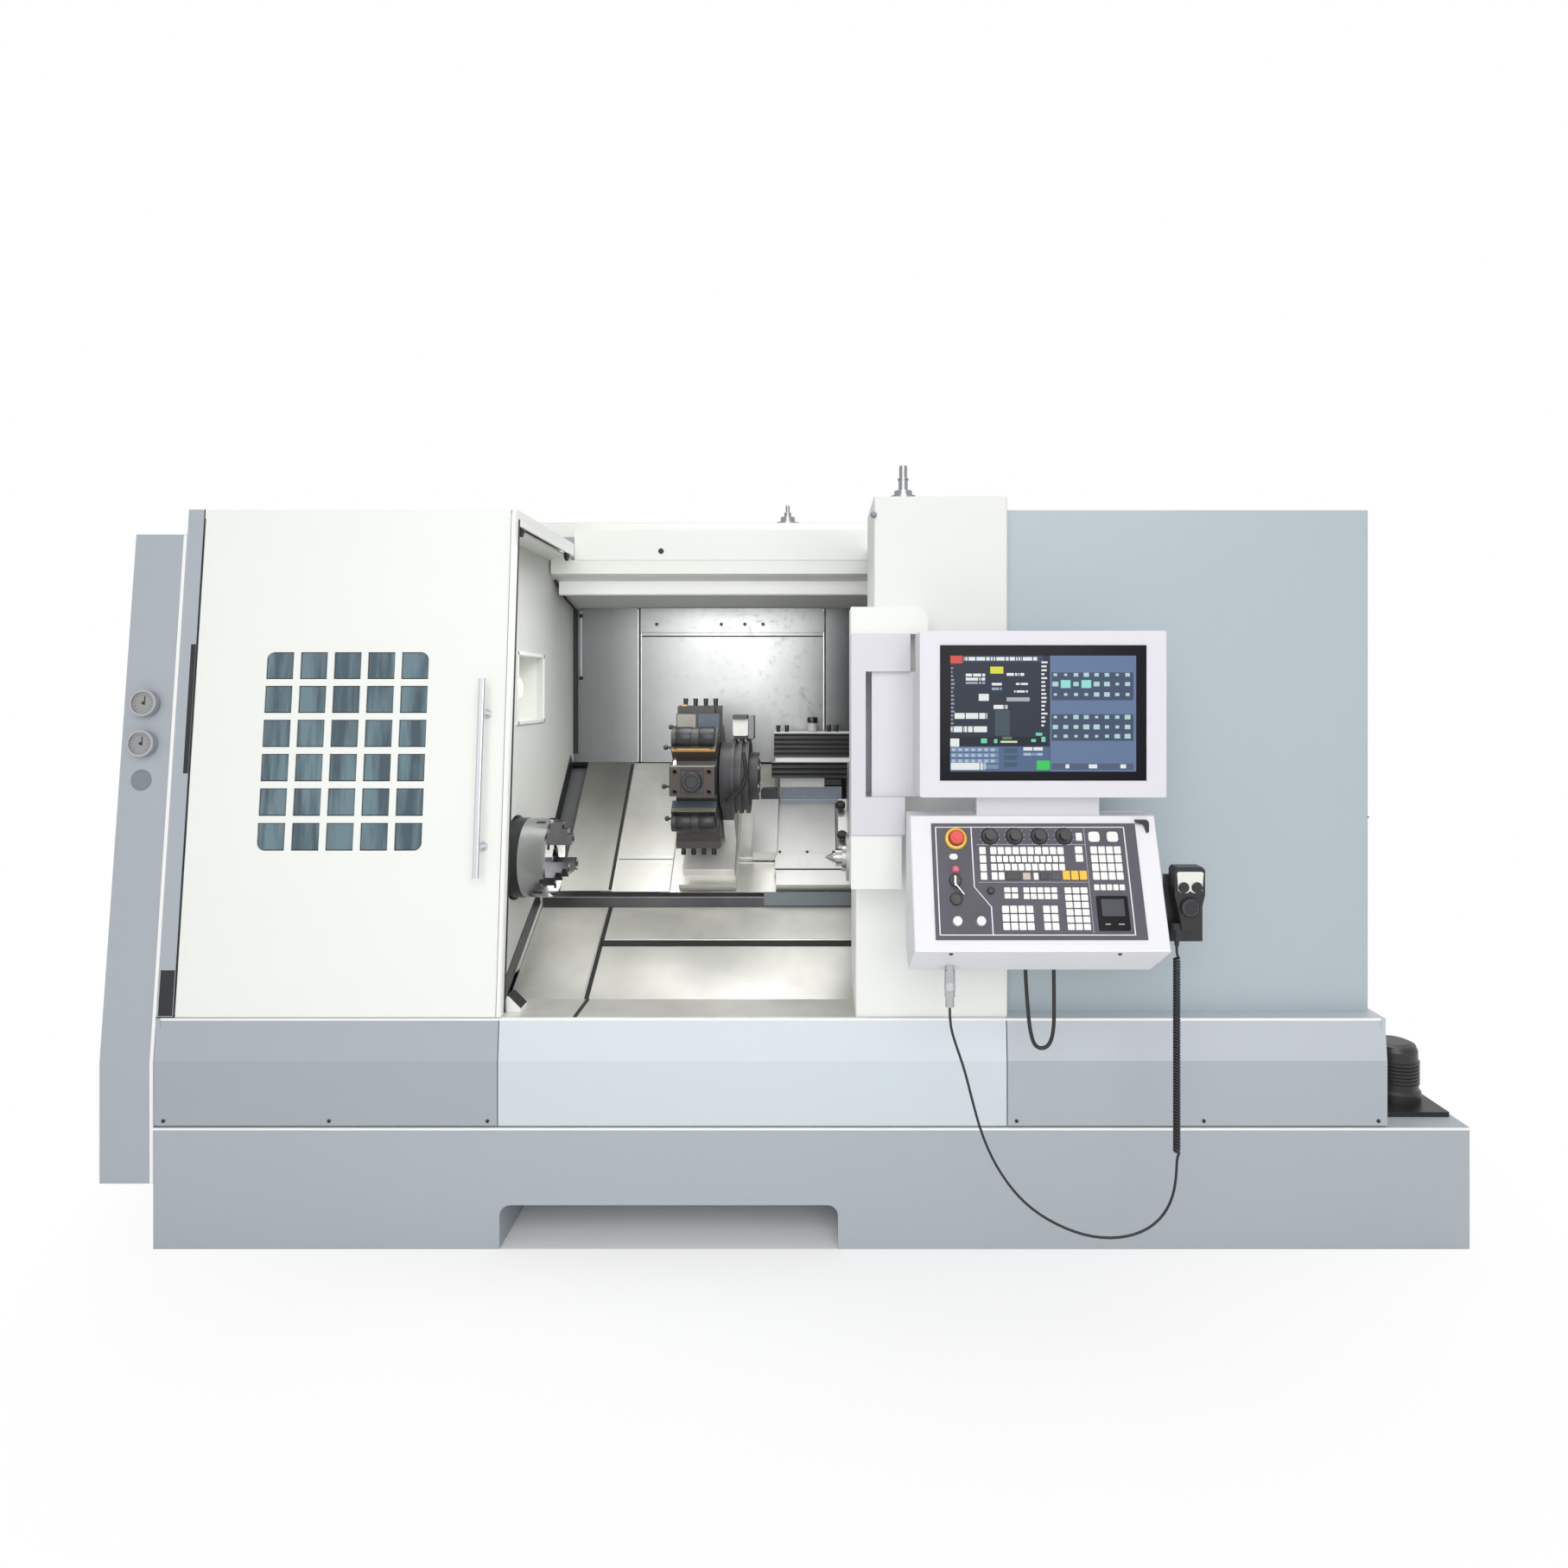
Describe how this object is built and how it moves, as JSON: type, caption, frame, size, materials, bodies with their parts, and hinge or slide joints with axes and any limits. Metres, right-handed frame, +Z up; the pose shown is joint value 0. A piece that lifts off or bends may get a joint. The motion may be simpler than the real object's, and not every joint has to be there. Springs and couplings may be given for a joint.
{
  "type": "cnc turning lathe",
  "caption": "Slant-bed turning lathe with sliding window door, drum turret, three-jaw chuck, tailstock and a swinging operator panel on a coolant-tank base.",
  "frame": {"origin": "on the floor under the middle of the coolant tank's footprint", "axes": "+X to the right along the spindle, +Y to the back, +Z up"},
  "size_m": [3.8063, 2.066, 2.2713],
  "materials": {
    "paint_white": "satin powder coat",
    "paint_grey": "satin powder coat",
    "paint_light": "satin powder coat",
    "paint_panel": "fine texture powder coat",
    "stainless": "brushed",
    "cast": "machined and painted",
    "steel": "ground",
    "chrome": "polished",
    "aluminium": "satin anodised",
    "glass": "laminated",
    "screen": "gloss",
    "key_grey": "matt film",
    "red_plastic": "gloss",
    "black_plastic": "matt",
    "white_plastic": "gloss",
    "rubber": "matt"
  },
  "bodies": {
    "root": {"base_tank": "paint_grey", "bed_casting": "cast", "guide_rails": "steel", "z_screw": "steel", "apron_left": "paint_grey", "apron_middle": "paint_light", "apron_right": "paint_grey", "left_end_cover": "paint_grey", "pressure_gauges": "chrome", "left_front_panel": "paint_white", "side_wall_left": "paint_white", "work_lamp": "paint_white", "back_panels": "stainless", "header_fascia": "paint_white", "ceiling_panel": "paint_white", "rear_cover": "paint_grey", "right_column": "paint_white", "right_cover": "paint_light", "bed_cover_upper": "stainless", "bed_cover_lower": "stainless", "headstock": "cast", "electrical_cabinet": "paint_grey", "coolant_pump": "black_plastic", "top_fittings": "chrome", "arm_bracket": "paint_panel"},
    "cabinet_door": {"cabinet_door": "paint_grey"},
    "spindle": {"spindle": "steel", "chuck_body": "chrome"},
    "jaw_1": {"jaw_1": "steel"},
    "jaw_2": {"jaw_2": "steel"},
    "jaw_3": {"jaw_3": "steel"},
    "carriage": {"saddle": "stainless"},
    "way_cover": {"way_cover_middle": "stainless"},
    "cross_slide": {"turret_housing": "cast"},
    "turret": {"turret_disc": "cast"},
    "tailstock": {"tailstock_body": "cast"},
    "quill": {"quill": "steel"},
    "live_centre": {"live_centre": "steel"},
    "door": {"sliding_door": "paint_white", "window_glass": "glass", "door_handle": "aluminium"},
    "panel": {"monitor_box": "paint_panel", "screen_panel": "screen", "operator_box": "paint_panel", "key_plate": "key_grey", "handset_holder": "black_plastic", "handset": "black_plastic", "handset_cord": "rubber", "curly_cord": "rubber", "cord_connector": "chrome", "hose_loop": "rubber"},
    "e_stop": {"e_stop": "red_plastic"},
    "knob_1": {"knob_1": "black_plastic"},
    "knob_2": {"knob_2": "black_plastic"},
    "knob_3": {"knob_3": "black_plastic"},
    "knob_4": {"knob_4": "black_plastic"},
    "start_button": {"start_button": "white_plastic"},
    "hold_button": {"hold_button": "white_plastic"},
    "handset_knob_left": {"handset_knob_left": "black_plastic"},
    "handset_knob_right": {"handset_knob_right": "black_plastic"}
  },
  "joints": [
    {"name": "door_slide", "type": "slide", "parent": "root", "child": "door", "axis": [1, 0, 0], "range_m": [0, 0.955]},
    {"name": "spindle_turn", "type": "hinge", "parent": "root", "child": "spindle", "pos_m": [-0.9, -0.4, 1.01], "axis": [1, 0, 0], "continuous": true},
    {"name": "jaw_1_slide", "type": "slide", "parent": "spindle", "child": "jaw_1", "axis": [0, 0, 1], "range_m": [-0.0044, 0.0044]},
    {"name": "jaw_2_slide", "type": "slide", "parent": "spindle", "child": "jaw_2", "axis": [0, -0.866, -0.5], "range_m": [-0.0044, 0.0044]},
    {"name": "jaw_3_slide", "type": "slide", "parent": "spindle", "child": "jaw_3", "axis": [0, 0.866, -0.5], "range_m": [-0.0044, 0.0044]},
    {"name": "carriage_slide", "type": "slide", "parent": "root", "child": "carriage", "axis": [1, 0, 0], "range_m": [-0.28, 0.02]},
    {"name": "way_cover_slide", "type": "slide", "parent": "root", "child": "way_cover", "axis": [1, 0, 0], "range_m": [-0.14, 0.01]},
    {"name": "cross_slide_feed", "type": "slide", "parent": "carriage", "child": "cross_slide", "axis": [0, 0.7071, 0.7071], "range_m": [-0.105, 0.09]},
    {"name": "turret_index", "type": "hinge", "parent": "cross_slide", "child": "turret", "pos_m": [-0.38, -0.15728, 1.25307], "axis": [1, 0, 0], "continuous": true},
    {"name": "tailstock_slide", "type": "slide", "parent": "root", "child": "tailstock", "axis": [1, 0, 0], "range_m": [-0.03, 0.65]},
    {"name": "quill_slide", "type": "slide", "parent": "tailstock", "child": "quill", "axis": [1, 0, 0], "range_m": [-0.12, 0]},
    {"name": "live_centre_turn", "type": "hinge", "parent": "quill", "child": "live_centre", "pos_m": [0.07, -0.4, 1.01], "axis": [1, 0, 0], "continuous": true},
    {"name": "panel_swing", "type": "hinge", "parent": "root", "child": "panel", "pos_m": [0.184, -0.94, 1.4], "axis": [0, 0, 1], "range_deg": [-75, 0]},
    {"name": "e_stop_push", "type": "slide", "parent": "panel", "child": "e_stop", "axis": [0, -0.9366, 0.3505], "range_m": [-0.006, 0]},
    {"name": "knob_1_turn", "type": "hinge", "parent": "panel", "child": "knob_1", "pos_m": [0.44533, -1.12109, 1.1882], "axis": [0, -0.9366, 0.3505], "range_deg": [-135, 135]},
    {"name": "knob_2_turn", "type": "hinge", "parent": "panel", "child": "knob_2", "pos_m": [0.50704, -1.12109, 1.1882], "axis": [0, -0.9366, 0.3505], "range_deg": [-135, 135]},
    {"name": "knob_3_turn", "type": "hinge", "parent": "panel", "child": "knob_3", "pos_m": [0.56875, -1.12109, 1.1882], "axis": [0, -0.9366, 0.3505], "range_deg": [-135, 135]},
    {"name": "knob_4_turn", "type": "hinge", "parent": "panel", "child": "knob_4", "pos_m": [0.63046, -1.12109, 1.1882], "axis": [0, -0.9366, 0.3505], "range_deg": [-135, 135]},
    {"name": "start_button_push", "type": "slide", "parent": "panel", "child": "start_button", "axis": [0, -0.9366, 0.3505], "range_m": [-0.003, 0], "stiffness_N_per_m": 300},
    {"name": "hold_button_push", "type": "slide", "parent": "panel", "child": "hold_button", "axis": [0, -0.9366, 0.3505], "range_m": [-0.003, 0], "stiffness_N_per_m": 300},
    {"name": "handset_knob_left_turn", "type": "hinge", "parent": "panel", "child": "handset_knob_left", "pos_m": [0.9305, -1.116, 1.06], "axis": [0, -1, 0], "range_deg": [-120, 120]},
    {"name": "handset_knob_right_turn", "type": "hinge", "parent": "panel", "child": "handset_knob_right", "pos_m": [0.9635, -1.116, 1.06], "axis": [0, -1, 0], "range_deg": [-120, 120]},
    {"name": "cabinet_door_swing", "type": "hinge", "parent": "root", "child": "cabinet_door", "pos_m": [-0.716, 0.8146, 1.2], "axis": [0, 0, 1], "range_deg": [0, 110]}
  ],
  "couplings": [
    {"joint": "jaw_2_slide", "follows": "jaw_1_slide", "ratio": 1},
    {"joint": "jaw_3_slide", "follows": "jaw_1_slide", "ratio": 1},
    {"joint": "way_cover_slide", "follows": "carriage_slide", "ratio": 0.5}
  ]
}
